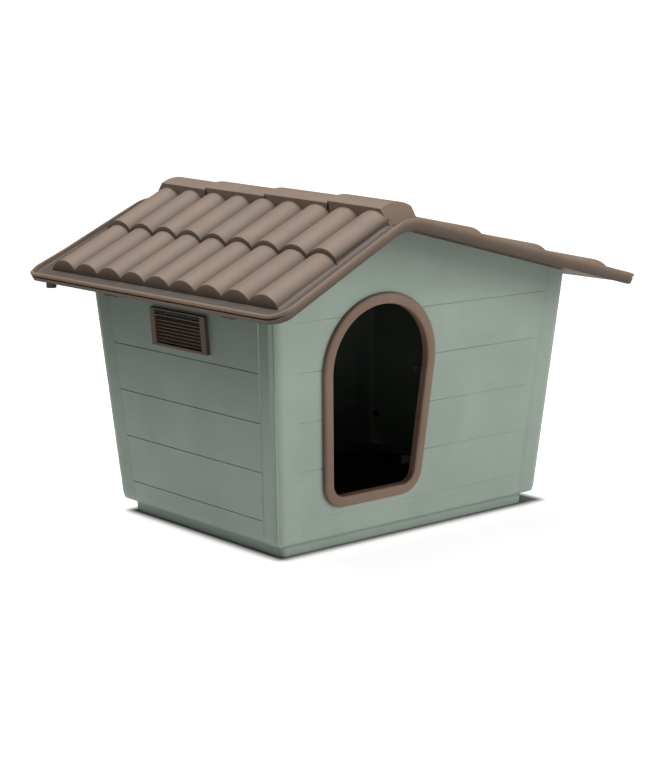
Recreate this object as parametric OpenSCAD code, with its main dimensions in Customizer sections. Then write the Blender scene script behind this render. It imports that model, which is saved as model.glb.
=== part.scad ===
// Small pet kennel: four clipped wall panels on a base tray, a framed doorway,
// two louvred vents and a lift-off tiled roof held by four turn locks.
// Frame: +X to the right seen from the door, -Y out of the door, +Z up.
// Origin: on the ground under the centre of the roof.

/* [Walls] */
// Half width of the house between the side walls, at the ground
half_width = 210; // [205:1:215]
// Half depth of the house between the gable walls, at the ground
half_depth = 157; // [154:1:160]
// Outward lean of the side walls, per unit of height
side_lean = 0.085; // [0.07:0.005:0.095]
// Outward lean of the gable walls, per unit of height
gable_lean = 0.078; // [0.065:0.001:0.085]
// Thickness of every moulded wall
wall = 2.5; // [2:0.1:3]
// Width of a corner pillar on each face
pillar_width = 30; // [26:1:33]
// How far the pillars stand out from the planks
pillar_proud = 3; // [2.5:0.1:3.5]
// Height of one plank between two grooves
plank_pitch = 59; // [56:1:60]
// Height of the lowest groove
first_groove = 43.5; // [42:0.5:46]
// House centre measured from the roof centre
house_x = -4.75; // [-6:0.25:-3]

/* [Doorway] */
// Centre of the doorway from the house centre
door_x = -73.5; // [-76:0.5:-66]
// Half width of the door frame where its arch begins
door_half = 87.5; // [84:0.5:90]
// Height where the arch begins
door_spring = 217; // [210:1:220]
// Height of the frame's lower edge
door_foot = 51.5; // [50:0.5:56]
// Inward taper of each door jamb, per unit of height
door_taper = 0.076; // [0.05:0.002:0.08]
// Width of the door frame
door_trim = 13.5; // [12:0.5:15]

/* [Vents] */
// Width of a vent
vent_width = 109; // [104:1:112]
// Height of a vent
vent_height = 46; // [44:1:48]
// Height of a vent's centre
vent_z = 253; // [250:1:255]
// Number of louvres in a vent
louvres = 8; // [6:1:8]

/* [Roof] */
// Length of the roof from eave to eave
roof_length = 590; // [586:1:594]
// Depth of the roof from front to back
roof_depth = 508; // [504:1:512]
// Height of the roof's rim at the ridge
ridge_z = 399; // [397:1:401]
// Ridge position from the roof centre
ridge_x = -104; // [-106:1:-102]
// Fall of the short slope, per unit of length
left_fall = 0.506; // [0.49:0.002:0.51]
// Fall of the long slope, per unit of length
right_fall = 0.254; // [0.25:0.002:0.26]
// Tile columns along the ridge
tile_columns = 9; // [9:1:9]
// Width of one tile
tile_pitch = 49.4; // [48.6:0.1:49.8]
// Rise of a tile's crest above its valley
tile_rise = 10; // [9:0.5:10.5]

/* [Hidden] */

$fn = 48;
far = 400;
// Gap between mating faces, how far a cut runs past a face, and gap at the end of a pin
fit = 0.1;
over = 1;
end_gap = 0.3;
green = "#8f9c92";
brown = "#8b7668";
dark_brown = "#5e4a3e";

// Base
plinth_height = 12;
plinth_inset = 10.5;
deck_thickness = 4;
foot_z = plinth_height + deck_thickness;
plinth_radius = 14;
lip_height = 14;
lip_gap = 0.6;
board_gap = 4.7;
board_thickness = 5;
slot_length = 44;
slot_width = 5;
slot_columns = 5;
slot_row_share = 0.2;

// Walls
side_angle = atan(side_lean);
gable_angle = atan(gable_lean);
side_reach = half_width + side_lean * foot_z;
gable_reach = half_depth + gable_lean * foot_z;
groove_width = 1.4;
groove_depth = 0.8;
roof_gap = 0.5;
wall_top = 320;
side_top = side_reach + side_lean * wall_top;
gable_top = gable_reach + gable_lean * wall_top;

// Doorway
corner_radius = 26;
arch_steps = 40;
corner_steps = 8;
trim_proud = 6;
spigot_cover = 10.5;
reveal = 14;
clamp_cover = 2;
clamp_depth = 4;
tab_heights = [88, 200];
tab_size = 10;
tab_depth = 2.5;
tab_reach = 6;
tab_gap = 0.6;

// Vents
vent_proud = 5;
stile = 9.5;
rail = 3.5;
spigot_wall = 1.8;
spigot_depth = 10;
retainer_thickness = 2.5;
louvre_tilt = 40;
louvre_depth = 5.5;
louvre_thickness = 1.2;

// Roof
roof_radius = 25;
rim_width = 4;
rim_drop = 15;
floor_drop = 9;
sheet_drop = floor_drop + wall;
left_ends = [-106, -189, -270];
left_highs = [-5, -8.5];
left_lows = [-3, -5];
right_ends = [-66, 44, 155, 266];
right_highs = [-5, -5, -5];
right_lows = [0.5, 0.5, 0.5];
strip_width = 20;
lap = 4;
tile_steps = 12;
sliver = 0.05;
field_half = tile_columns * tile_pitch / 2;
cap_x = -86;
cap_half = 24.2;
cap_side_z = 403.7;
cap_tilt_rise = 2.6;
cap_crown = 6.6;
cap_step = 0.4;
cap_joints = [-210, -117.6, 0, 117.6, 210];

// Roof locks
lock_reach = 248;
lock_y = 123.5;
lock_z = 283;
lock_arm = 19;
lock_arm_width = 9;
lock_arm_thickness = 5;
lock_disc = 7;
lock_stem = 4.2;
boss_radius = 7.5;
boss_z = 292;
stem_top = 298;
keeper_gap = 2;

// Snaps
snap_radius = 3;
snap_head = 5.5;
snap_head_depth = 2;
corner_snap_heights = [70, 230];
corner_snap_in = 15;
corner_snap_top = 2;
snap_gap = 0.2;
snap_root = 0.3;
base_snap_length = 7.5;
base_snap_skin = 1;
base_snap_up = 10;
base_snap_gable_x = [-120, 0, 120];
base_snap_side_x = [-80, 80];

// Drain spouts
spout_x = 284;
spout_y = 205;
spout_radius = 6.5;
spout_spigot = 4.5;
spout_bore = 3;
spout_drop = 11;
spout_rise = 7.5;

// Height of the roof's rim above the ground at x
function rim_z(x) = ridge_z - (x < ridge_x ? left_fall : right_fall) * abs(x - ridge_x);

// Half width of the door frame at height z
function jamb(z) = door_half - door_taper * (door_spring - z);

// Distance up a leaning wall for a height above the ground
function up(z, angle) = (z - foot_z) / cos(angle);

// Everything between z_low and the roof line lowered by drop
module under_roof(drop, z_low) {
  translate([0, far, 0]) rotate([90, 0, 0]) linear_extrude(2 * far)
    polygon([[-far, rim_z(-far) - drop], [-far, z_low], [far, z_low],
             [far, rim_z(far) - drop], [ridge_x, ridge_z - drop]]);
}

// Everything between the roof line lowered by drop_high and by drop_low
module roof_layer(drop_high, drop_low) {
  difference() {
    under_roof(drop_high, 0);
    under_roof(drop_low, -far);
  }
}

// Places a shape drawn on a wall: x along it, y up it, z out of it
module on_wall(turn, reach, angle) {
  translate([house_x, 0, foot_z]) rotate([0, 0, turn]) translate([0, -reach, 0])
    rotate([90 + angle, 0, 0]) children();
}

module on_gable(turn) { on_wall(turn, gable_reach, gable_angle) children(); }
module on_side(turn) { on_wall(turn, side_reach, side_angle) children(); }

// Everything inside the four plank faces, moved out by proud
module house_body(proud) {
  intersection() {
    for_gables() translate([-far, -foot_z * 2, -2 * far]) cube([2 * far, 2 * far, 2 * far + proud]);
    for_sides() translate([-far, -foot_z * 2, -2 * far]) cube([2 * far, 2 * far, 2 * far + proud]);
  }
}

module for_gables() { intersection() { on_gable(0) children(); on_gable(180) children(); } }
module for_sides() { intersection() { on_side(-90) children(); on_side(90) children(); } }

// Face of a wall, narrowed by inset at each end; edge is the other walls' lean
module wall_face(reach, lean, angle, inset) {
  edge = lean * cos(angle);
  polygon([[-reach + inset + edge * foot_z, -foot_z], [reach - inset - edge * foot_z, -foot_z],
           [reach - inset + edge * far, far], [-reach + inset - edge * far, far]]);
}

// Grooves between the planks of a wall, up to a height
module grooves(reach, lean, angle, top) {
  for (z = [first_groove : plank_pitch : top])
    intersection() {
      translate([-far, up(z, angle) - groove_width / 2, -groove_depth])
        cube([2 * far, groove_width, groove_depth + over]);
      linear_extrude(4 * groove_depth, center = true) wall_face(reach, lean, angle, pillar_width - over);
    }
}

// Gable wall with the two corner pillars that it carries round onto the side walls
module gable_wall(turn, groove_top) {
  difference() {
    intersection() {
      under_roof(sheet_drop + roof_gap, foot_z);
      union() {
        on_gable(turn) translate([0, 0, -wall]) linear_extrude(wall)
          wall_face(side_reach, side_lean, gable_angle, pillar_width - wall);
        difference() {
          house_body(pillar_proud);
          house_body(0);
          on_gable(turn) translate([0, 0, -2 * far - pillar_width]) translate([-far, -far, 0])
            cube([2 * far, 3 * far, 2 * far]);
          on_gable(turn) linear_extrude(8 * pillar_proud, center = true)
            wall_face(side_reach, side_lean, gable_angle, pillar_width);
        }
      }
    }
    on_gable(turn) grooves(side_reach, side_lean, gable_angle, groove_top);
    corner_snap_holes();
    base_snap_holes();
  }
}

// Side wall, whose ends slide in behind the pillars
module side_wall(turn, top) {
  difference() {
    intersection() {
      translate([-far, -far, foot_z]) cube([2 * far, 2 * far, top - foot_z]);
      on_side(turn) translate([0, 0, -wall]) linear_extrude(wall)
        wall_face(gable_reach, gable_lean, side_angle, wall);
    }
    on_side(turn) {
      grooves(gable_reach, gable_lean, side_angle, vent_z);
      translate([0, up(vent_z, side_angle), 0]) linear_extrude(4 * wall, center = true)
        square([vent_width - 2 * rail, vent_height - 2 * spigot_wall], center = true);
    }
    keepers(turn);
    corner_snap_holes();
    base_snap_holes();
  }
}

// Slots in a side wall that the roof locks turn into
module keepers(turn) {
  side = turn > 0 ? 1 : -1;
  for (end = [-1, 1])
    translate([house_x + side * lock_reach, end * lock_y, lock_z - keeper_gap])
      translate([side > 0 ? -lock_arm - keeper_gap : 0, end > 0 ? -lock_arm : -lock_arm_width, 0])
        cube([lock_arm + keeper_gap, lock_arm + lock_arm_width, lock_arm_thickness + 2 * keeper_gap]);
}

// Points along an arc about a centre, from one angle to another
function arc(x, y, radius, from, to, steps) =
  [for (i = [0 : steps])
    let (a = from + (to - from) * i / steps)
    [x + radius * cos(a), y + radius * sin(a)]];

// Outline of the doorway, moved outwards by grow
module door_outline(grow) {
  tilt = atan(door_taper);
  arch = door_half * cos(tilt) + grow;
  corner = corner_radius + grow;
  corner_z = door_foot + corner_radius;
  corner_x = jamb(corner_z) - corner_radius / cos(tilt);
  translate([door_x, -foot_z]) polygon(concat(
    arc(0, door_spring, arch, -tilt, 180 + tilt, arch_steps),
    arc(-corner_x, corner_z, corner, 180 + tilt, 270, corner_steps),
    arc(corner_x, corner_z, corner, 270, 360 - tilt, corner_steps)
  ));
}

module front_panel() {
  color(green) difference() {
    gable_wall(0, first_groove + 4 * plank_pitch);
    on_gable(0) linear_extrude(4 * wall, center = true) door_outline(-spigot_cover);
  }
}

module rear_panel() {
  color(green) gable_wall(180, first_groove + 4 * plank_pitch);
}

module left_panel() {
  color(green) side_wall(-90, rim_z(house_x - side_top) - sheet_drop);
}

module right_panel() {
  color(green) side_wall(90, rim_z(house_x + side_top) - sheet_drop);
}

module door_frame() {
  color(brown) on_gable(0) difference() {
    union() {
      linear_extrude(trim_proud) door_outline(0);
      translate([0, 0, -reveal]) linear_extrude(reveal + over) door_outline(-spigot_cover - fit);
    }
    translate([0, 0, -2 * reveal]) linear_extrude(4 * reveal) door_outline(-door_trim);
  }
}

// Ring behind the front wall that locks the door frame in, with four clip tabs
module door_clamp_ring() {
  color(dark_brown) on_gable(0) {
    translate([0, 0, -wall - clamp_depth - fit]) linear_extrude(clamp_depth) difference() {
      door_outline(-clamp_cover);
      door_outline(-spigot_cover);
    }
    for (side = [-1, 1], z = tab_heights)
      translate([door_x + side * (jamb(z) - spigot_cover), up(z, gable_angle), -reveal - tab_depth - fit]) {
        translate([side > 0 ? tab_gap : -tab_depth - tab_gap, -tab_size / 2, 0])
          cube([tab_depth, tab_size, reveal + tab_depth - wall - fit]);
        translate([side > 0 ? -tab_reach : -tab_depth - tab_gap, -tab_size / 2, 0])
          cube([tab_reach + tab_depth + tab_gap, tab_size, tab_depth]);
      }
  }
}

module vent_grille(turn) {
  inner = [vent_width - 2 * stile, vent_height - 2 * rail];
  spigot = [vent_width - 2 * rail - 2 * fit, vent_height - 2 * spigot_wall - 2 * fit];
  pitch = inner[1] / louvres;
  color(dark_brown) on_side(turn) translate([0, up(vent_z, side_angle), 0]) {
    linear_extrude(vent_proud) difference() {
      square([vent_width, vent_height], center = true);
      square(inner, center = true);
    }
    translate([0, 0, -spigot_depth]) linear_extrude(spigot_depth + over) difference() {
      square(spigot, center = true);
      square(inner, center = true);
    }
    for (row = [1 : louvres - 1])
      translate([0, row * pitch - inner[1] / 2, 0]) rotate([louvre_tilt, 0, 0])
        cube([inner[0] + over, louvre_thickness, louvre_depth], center = true);
  }
}

module vent_retainer(turn) {
  color(dark_brown) on_side(turn)
    translate([0, up(vent_z, side_angle), -wall - retainer_thickness - fit])
      linear_extrude(retainer_thickness) difference() {
        square([vent_width, vent_height + 2 * rail], center = true);
        square([vent_width - 2 * rail, vent_height - 2 * spigot_wall], center = true);
      }
}

module rounded_plan(length, depth, radius, height) {
  linear_extrude(height) {
    square([length, depth - 2 * radius], center = true);
    square([length - 2 * radius, depth], center = true);
    for (x = [-1, 1], y = [-1, 1])
      translate([x * (length / 2 - radius), y * (depth / 2 - radius)]) circle(radius);
  }
}

module base_tray() {
  length = 2 * (side_reach - plinth_inset);
  depth = 2 * (gable_reach - plinth_inset);
  lip_length = 2 * (side_reach - wall - lip_gap);
  lip_depth = 2 * (gable_reach - wall - lip_gap);
  color(green) difference() {
    translate([house_x, 0, 0]) difference() {
      union() {
        rounded_plan(length, depth, plinth_radius, plinth_height);
        translate([0, 0, plinth_height])
          rounded_plan(2 * side_reach, 2 * gable_reach, plinth_radius, deck_thickness);
        translate([-lip_length / 2, -lip_depth / 2, plinth_height])
          cube([lip_length, lip_depth, deck_thickness + lip_height]);
      }
      translate([0, 0, -over])
        rounded_plan(length - 2 * wall, depth - 2 * wall, plinth_radius - wall, plinth_height + over);
      translate([-lip_length / 2 + wall, -lip_depth / 2 + wall, foot_z])
        cube([lip_length - 2 * wall, lip_depth - 2 * wall, lip_height + over]);
    }
    base_snap_holes();
  }
}

// Loose floor board with drain slots
module floor_board() {
  length = 2 * (side_reach - wall - lip_gap - wall - board_gap);
  depth = 2 * (gable_reach - wall - lip_gap - wall - board_gap);
  color(dark_brown) translate([house_x, 0, foot_z]) difference() {
    translate([-length / 2, -depth / 2, 0]) cube([length, depth, board_thickness]);
    for (column = [1 : slot_columns], side = [-1, 1])
      translate([(column / (slot_columns + 1) - 0.5) * length - slot_length / 2,
                 side * slot_row_share * depth - slot_width / 2, -over])
        cube([slot_length, slot_width, board_thickness + 2 * over]);
  }
}

// Puts a child on the wall at every corner snap, its z out of the wall
module at_corner_snaps() {
  for (turn = [-90, 90], end = [-1, 1], z = corner_snap_heights)
    on_side(turn)
      translate([end * (gable_reach + gable_lean * (z - foot_z) - corner_snap_in), up(z, side_angle), 0])
        children();
}

module corner_snap_holes() {
  at_corner_snaps() translate([0, 0, -2 * wall])
    cylinder(r = snap_radius + fit, h = 2 * wall + corner_snap_top);
}

// Pegs that hold the side walls behind the pillars
module corner_snaps() {
  color(dark_brown) at_corner_snaps() {
    translate([0, 0, -wall - over])
      cylinder(r = snap_radius, h = wall + over + corner_snap_top - snap_gap);
    translate([0, 0, -wall - snap_head_depth]) cylinder(r = snap_head, h = snap_head_depth);
  }
}

module at_base_snaps() {
  for (turn = [0, 180], x = base_snap_gable_x) on_gable(turn) translate([x, base_snap_up, 0]) children();
  for (turn = [-90, 90], x = base_snap_side_x) on_side(turn) translate([x, base_snap_up, 0]) children();
}

module base_snap_holes() {
  at_base_snaps() translate([0, 0, -4 * wall])
    cylinder(r = snap_radius + fit, h = 4 * wall - base_snap_skin);
}

// Pegs that hold the walls to the lip of the base
module base_snaps() {
  color(dark_brown) at_base_snaps() {
    translate([0, 0, -base_snap_length]) {
      cylinder(r = snap_radius, h = base_snap_length - base_snap_skin - snap_gap);
      translate([0, 0, snap_root - snap_head_depth]) cylinder(r = snap_head, h = snap_head_depth);
    }
  }
}

// Cross-section of a row of tiles; skin is how far it lies inside the outer face
module tile_section(skin, depth) {
  radius = (pow(tile_pitch / 2, 2) + pow(tile_rise, 2)) / (2 * tile_rise);
  joint = asin(tile_pitch / 2 / (radius - skin));
  edge = asin((tile_pitch / 2 - skin) / (radius - skin));
  polygon(concat(
    [[-field_half + skin, -depth]],
    [for (column = [0 : tile_columns - 1])
      each arc((column + 0.5) * tile_pitch - field_half, tile_rise - radius, radius - skin,
        90 + (column == 0 ? edge : joint - sliver),
        90 - (column == tile_columns - 1 ? edge : joint - sliver), tile_steps)],
    [[field_half - skin, -depth]]
  ));
}

// One row of tiles from its upper end to its lower end; high and low are the heights of its valleys
// there, from the line of the rim
module tile_row(x_up, x_down, high, low, skin) {
  side = x_down > x_up ? 1 : -1;
  run = abs(x_down - x_up);
  fall = rim_z(x_up) + high - rim_z(x_down) - low;
  length = sqrt(run * run + fall * fall);
  translate([x_up, 0, rim_z(x_up) + high]) mirror([side > 0 ? 0 : 1, 0, 0])
    rotate([0, atan(fall / run), 0]) rotate([90, 0, 90])
      translate([0, 0, -lap]) linear_extrude(lap + length - skin) tile_section(skin, 3 * tile_rise);
}

module tile_rows(skin) {
  for (row = [0 : len(left_lows) - 1])
    tile_row(left_ends[row], left_ends[row + 1], left_highs[row], left_lows[row], skin);
  for (row = [0 : len(right_lows) - 1])
    tile_row(right_ends[row], right_ends[row + 1], right_highs[row], right_lows[row], skin);
}

// Cross-section of a ridge tile; skin is how far it lies inside the outer face
module cap_section(skin) {
  radius = (cap_half * cap_half + cap_crown * cap_crown) / (2 * cap_crown);
  edge = asin((cap_half - skin) / (radius - skin));
  polygon(concat(
    arc(0, cap_crown - radius, radius - skin, 90 + edge, 90 - edge, tile_steps),
    [[cap_half - skin, -4 * tile_rise], [skin - cap_half, -4 * tile_rise]]
  ));
}

// Half-round ridge tiles, each rising to the back and lapping over the next; every second one is
// a little smaller, so that no two of them share a face
module ridge_caps() {
  for (joint = [0 : len(cap_joints) - 2]) {
    front = cap_joints[joint] - (joint > 0 ? lap : 0);
    length = cap_joints[joint + 1] - front;
    translate([cap_x, front, cap_side_z])
      rotate([90 - atan(cap_tilt_rise / length), 0, 180]) linear_extrude(length)
        cap_section(joint % 2 * cap_step);
  }
}

// Hollow under the ridge tiles
module ridge_hollow() {
  length = 2 * (cap_joints[len(cap_joints) - 1] - wall);
  translate([cap_x, -length / 2, cap_side_z]) rotate([90, 0, 180])
    linear_extrude(length) cap_section(wall);
}

// Flat strips under the tiles that rest on the wall tops
module bearing_strips() {
  outer = 2 * side_top + strip_width;
  depth = 2 * gable_top + strip_width;
  intersection() {
    roof_layer(floor_drop, sheet_drop + over);
    translate([house_x, 0, 0]) difference() {
      translate([-outer / 2, -depth / 2, 0]) cube([outer, depth, 2 * far]);
      translate([strip_width - outer / 2, strip_width - depth / 2, -over])
        cube([outer - 2 * strip_width, depth - 2 * strip_width, 3 * far]);
    }
  }
}

module at_roof_locks() {
  for (x = [-1, 1], y = [-1, 1]) translate([house_x + x * lock_reach, y * lock_y, 0]) children();
}

module roof_shell() {
  color(brown) difference() {
    union() {
      intersection() {
        rounded_plan(roof_length, roof_depth, roof_radius, 2 * far);
        union() {
          difference() {
            roof_layer(0, rim_drop);
            translate([0, 0, -over]) rounded_plan(roof_length - 2 * rim_width,
              roof_depth - 2 * rim_width, roof_radius - rim_width, 2 * far + 2 * over);
          }
          difference() {
            roof_layer(floor_drop, sheet_drop);
            tile_rows(wall);
            ridge_hollow();
          }
        }
      }
      difference() {
        union() {
          tile_rows(0);
          ridge_caps();
        }
        under_roof(sheet_drop, -far);
        difference() {
          union() {
            tile_rows(wall);
            ridge_hollow();
          }
          bearing_strips();
        }
      }
      intersection() {
        under_roof(wall, boss_z);
        at_roof_locks() cylinder(r = boss_radius, h = far);
      }
    }
    at_roof_locks() translate([0, 0, boss_z - over])
      cylinder(r = lock_stem + fit, h = stem_top - boss_z + over + end_gap);
    for (side = [-1, 1]) translate([side * spout_x, spout_y, 0])
      cylinder(r = spout_spigot + fit, h = far);
  }
}

// Turn lock under the roof; at rest its arm lies along the wall
module roof_lock(x, y) {
  color(dark_brown) translate([house_x + x * lock_reach, y * lock_y, lock_z]) {
    cylinder(r = lock_disc, h = boss_z - lock_z - end_gap);
    cylinder(r = lock_stem, h = stem_top - lock_z);
    translate([-lock_arm_width / 2, y > 0 ? -lock_arm : 0, 0])
      cube([lock_arm_width, lock_arm, lock_arm_thickness]);
  }
}

module drain_spout(side) {
  sheet_z = rim_z(side * (spout_x + spout_radius)) - sheet_drop - end_gap;
  color(dark_brown) translate([side * spout_x, spout_y, sheet_z - spout_drop]) difference() {
    union() {
      cylinder(r = spout_radius, h = spout_drop);
      cylinder(r = spout_spigot, h = spout_drop + spout_rise);
    }
    translate([0, 0, -over]) cylinder(r = spout_bore, h = spout_drop + spout_rise + 2 * over);
  }
}

base_tray();
floor_board();
front_panel();
rear_panel();
left_panel();
right_panel();
door_frame();
door_clamp_ring();
vent_grille(-90);  // left_vent_grille
vent_grille(90);  // right_vent_grille
vent_retainer(-90);  // left_vent_retainer
vent_retainer(90);  // right_vent_retainer
corner_snaps();
base_snaps();
roof_shell();
drain_spout(-1);  // drain_spout_left
drain_spout(1);  // drain_spout_right
roof_lock(-1, -1);  // roof_lock_front_left
roof_lock(1, -1);  // roof_lock_front_right
roof_lock(-1, 1);  // roof_lock_rear_left
roof_lock(1, 1);  // roof_lock_rear_right
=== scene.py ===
import math

import bmesh
import bpy
from mathutils import Matrix, Vector


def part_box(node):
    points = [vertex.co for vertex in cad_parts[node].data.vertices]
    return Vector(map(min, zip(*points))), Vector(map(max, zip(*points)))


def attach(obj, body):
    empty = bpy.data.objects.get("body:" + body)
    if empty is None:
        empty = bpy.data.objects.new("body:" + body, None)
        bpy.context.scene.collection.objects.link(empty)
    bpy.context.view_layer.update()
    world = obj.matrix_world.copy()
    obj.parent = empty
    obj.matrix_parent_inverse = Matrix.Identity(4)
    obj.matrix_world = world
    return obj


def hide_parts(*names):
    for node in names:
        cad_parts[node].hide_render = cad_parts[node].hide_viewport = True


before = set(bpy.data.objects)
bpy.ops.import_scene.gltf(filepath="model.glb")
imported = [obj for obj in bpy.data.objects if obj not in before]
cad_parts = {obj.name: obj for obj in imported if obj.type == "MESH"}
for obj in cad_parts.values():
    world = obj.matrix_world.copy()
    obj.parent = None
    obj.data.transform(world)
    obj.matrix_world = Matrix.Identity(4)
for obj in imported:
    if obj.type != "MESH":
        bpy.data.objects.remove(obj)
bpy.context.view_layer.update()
print("frame loaded:", len(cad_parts), "nodes")

# Pieces are drawn in millimetres, and newObject brings them to metres.
millimetre = 0.001
cutterDepth = 40     # of the shapes that cut openings through a wall


def boxInMillimetres(node):
    low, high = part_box(node)
    return low / millimetre, high / millimetre


trayLow, trayHigh = boxInMillimetres("base_tray")
roofLow, roofHigh = boxInMillimetres("roof_shell")

house = {
    "centreX": (trayLow.x + trayHigh.x) / 2,
    "middleZ": 150,       # height of a point inside the walls
    "footZ": 16,          # underside of the walls, on the deck of the base
    "sideLean": 0.085,
    "gableLean": 0.078,
    "sideReach": (trayHigh.x - trayLow.x) / 2,     # plank face at footZ
    "gableReach": (trayHigh.y - trayLow.y) / 2,
    "wall": 2.5,
}

# half the width and the depth between the plank faces, run down to the ground
groundWidth = house["sideReach"] - house["sideLean"] * house["footZ"]
groundDepth = house["gableReach"] - house["gableLean"] * house["footZ"]

roofLine = {
    "ridgeX": -104,
    "ridgeZ": 399,
    "leftFall": 0.506,
    "rightFall": 0.254,
    "ridgeRound": 22,     # half the width over which the rim bends at the ridge
}


def sharpRim(x):
    fall = roofLine["leftFall"] if x < roofLine["ridgeX"] else roofLine["rightFall"]
    return roofLine["ridgeZ"] - fall * abs(x - roofLine["ridgeX"])


def rim(x):
    half = roofLine["ridgeRound"]
    along = x - roofLine["ridgeX"] + half
    if along <= 0 or along >= 2 * half:
        return sharpRim(x)
    bend = (roofLine["leftFall"] + roofLine["rightFall"]) / (4 * half)
    return sharpRim(roofLine["ridgeX"] - half) + roofLine["leftFall"] * along - bend * along * along


def wallMatrix(turn, reach, lean):
    slope = math.pi / 2 + math.atan(lean)
    return (
        Matrix.Translation((house["centreX"], 0, house["footZ"]))
        @ Matrix.Rotation(math.radians(turn), 4, "Z")
        @ Matrix.Translation((0, -reach, 0))
        @ Matrix.Rotation(slope, 4, "X")
    )


def gableMatrix(turn):
    return wallMatrix(turn, house["gableReach"], house["gableLean"])


def sideMatrix(turn):
    return wallMatrix(turn, house["sideReach"], house["sideLean"])


# how far up a leaning wall a height above the ground lies
def upWall(z, lean):
    return (z - house["footZ"]) / math.cos(math.atan(lean))


def everything(bm):
    return bm.verts[:] + bm.edges[:] + bm.faces[:]


def vertsIn(geometry):
    return [v for v in geometry if isinstance(v, bmesh.types.BMVert)]


# the edges in some geometry whose ends are both among the given vertices
def edgesBetween(geometry, verts):
    edges = [e for e in geometry if isinstance(e, bmesh.types.BMEdge)]
    return [e for e in edges if all(v in verts for v in e.verts)]


def cut(bm, point, normal, clear=False):
    bmesh.ops.bisect_plane(
        bm, geom=everything(bm), dist=1e-4, plane_co=point, plane_no=normal, clear_outer=clear
    )


# adds a finished part's mesh to a piece's
def addPart(bm, part):
    mesh = bpy.data.meshes.new("part")
    part.to_mesh(mesh)
    part.free()
    bm.from_mesh(mesh)
    bpy.data.meshes.remove(mesh)


# a flat face with rounded corners, in the plane z
def roundedPlate(bm, length, depth, radius, z, segments=10):
    made = bmesh.ops.create_grid(bm, x_segments=1, y_segments=1, size=0.5)
    bmesh.ops.scale(bm, verts=made["verts"], vec=(length, depth, 1))
    bmesh.ops.translate(bm, verts=made["verts"], vec=(0, 0, z))
    face = made["verts"][0].link_faces[0]
    return roundCorners(bm, face, list(face.verts), radius, segments)


# rounds some corners of a single flat face, and returns the face
def roundCorners(bm, face, corners, radius, segments):
    others = set(bm.faces) - {face}
    bmesh.ops.bevel(
        bm, geom=corners, offset=radius, offset_type="OFFSET", segments=segments,
        profile=0.5, affect="VERTICES", material=-1, clamp_overlap=False,
    )
    return [f for f in bm.faces if f not in others][0]


# insets a face again and again: each step is how far in and how far up
def stack(bm, face, steps):
    for inward, up in steps:
        bmesh.ops.inset_region(
            bm, faces=[face], thickness=inward, depth=0, use_boundary=True, use_even_offset=True
        )
        bmesh.ops.translate(bm, verts=face.verts, vec=(0, 0, up))
    return face


# the steps between the points of a section, given as (distance in, height)
def stepsOf(section):
    return [(b[0] - a[0], b[1] - a[1]) for a, b in zip(section, section[1:])]


def roundEdges(bm, edges, width, segments=3):
    bmesh.ops.bevel(
        bm, geom=edges, offset=width, offset_type="OFFSET", segments=segments,
        profile=0.5, affect="EDGES", material=-1, clamp_overlap=True,
    )


def sharpEdges(bm, angle=40):
    bm.normal_update()
    return [e for e in bm.edges if e.is_manifold and e.calc_face_angle() > math.radians(angle)]


def newObject(bm, name, scale=millimetre):
    bmesh.ops.scale(bm, verts=bm.verts, vec=(scale,) * 3)
    mesh = bpy.data.meshes.new(name)
    bm.to_mesh(mesh)
    bm.free()
    mesh.shade_smooth()
    piece = bpy.data.objects.new(name, mesh)
    bpy.context.scene.collection.objects.link(piece)
    return piece


def finishPiece(piece, body, material, stands=(), sharp=38, thickness=0, bevel=0, segments=2):
    piece.data.materials.clear()
    piece.data.materials.append(material)
    piece.data.set_sharp_from_angle(angle=math.radians(sharp))
    if thickness:
        shell = piece.modifiers.new("wall", "SOLIDIFY")
        shell.thickness = thickness * millimetre
        shell.offset = -1
        shell.use_even_offset = True
    if bevel:
        edge = piece.modifiers.new("edges", "BEVEL")
        edge.width = bevel * millimetre
        edge.segments = segments
        edge.limit_method = "ANGLE"
        edge.angle_limit = math.radians(sharp)
        edge.use_clamp_overlap = True
    flat = piece.modifiers.new("shading", "WEIGHTED_NORMAL")
    flat.keep_sharp = True
    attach(piece, body)
    if stands:
        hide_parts(*stands)
    return piece


# cuts the cutters out of a piece and throws them away
def carve(piece, cutters):
    for cutter in cutters:
        knife = piece.modifiers.new("knife", "BOOLEAN")
        knife.object = cutter
        knife.operation = "DIFFERENCE"
        knife.solver = "EXACT"
    graph = bpy.context.evaluated_depsgraph_get()
    carved = bpy.data.meshes.new_from_object(piece.evaluated_get(graph))
    old = piece.data
    piece.modifiers.clear()
    piece.data = carved
    bpy.data.meshes.remove(old)
    carved.name = piece.name
    for cutter in cutters:
        bpy.data.objects.remove(cutter)


def toLinear(colour):
    channels = [int(colour[i:i + 2], 16) / 255 for i in (1, 3, 5)]
    return [c / 12.92 if c <= 0.04045 else ((c + 0.055) / 1.055) ** 2.4 for c in channels] + [1]


# adds a node with its settings (socket or property) and its links (socket: source socket)
def addNode(tree, kind, settings=None, links=None):
    node = tree.nodes.new(kind)
    for name, value in (settings or {}).items():
        if name in node.inputs:
            node.inputs[name].default_value = value
        else:
            setattr(node, name, value)
    for name, source in (links or {}).items():
        tree.links.new(source, node.inputs[name])
    return node


# the marks that moulding leaves on the plastic, in millimetres, and the brightness of the painted shade
moulding = {
    "flow": 90,            # length of the patches where the plastic flowed in
    "sink": 60,            # length of the shallow sink waves
    "sinkDepth": 1.6,
    "speck": 2.2,          # size of the pigment's specks
    "grain": 0.2,          # size of the spark-eroded grain
    "grainCoarser": 6.5,   # the real grain is too fine to show, so it is drawn this many times as coarse
    "grainDepth": 0.25,
    "paintedShadeTone": 0.3,     # brightness left where a piece's shade attribute, which paints shade, is 1
}


def patternScale(size):
    return 1 / (size * millimetre)


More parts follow.
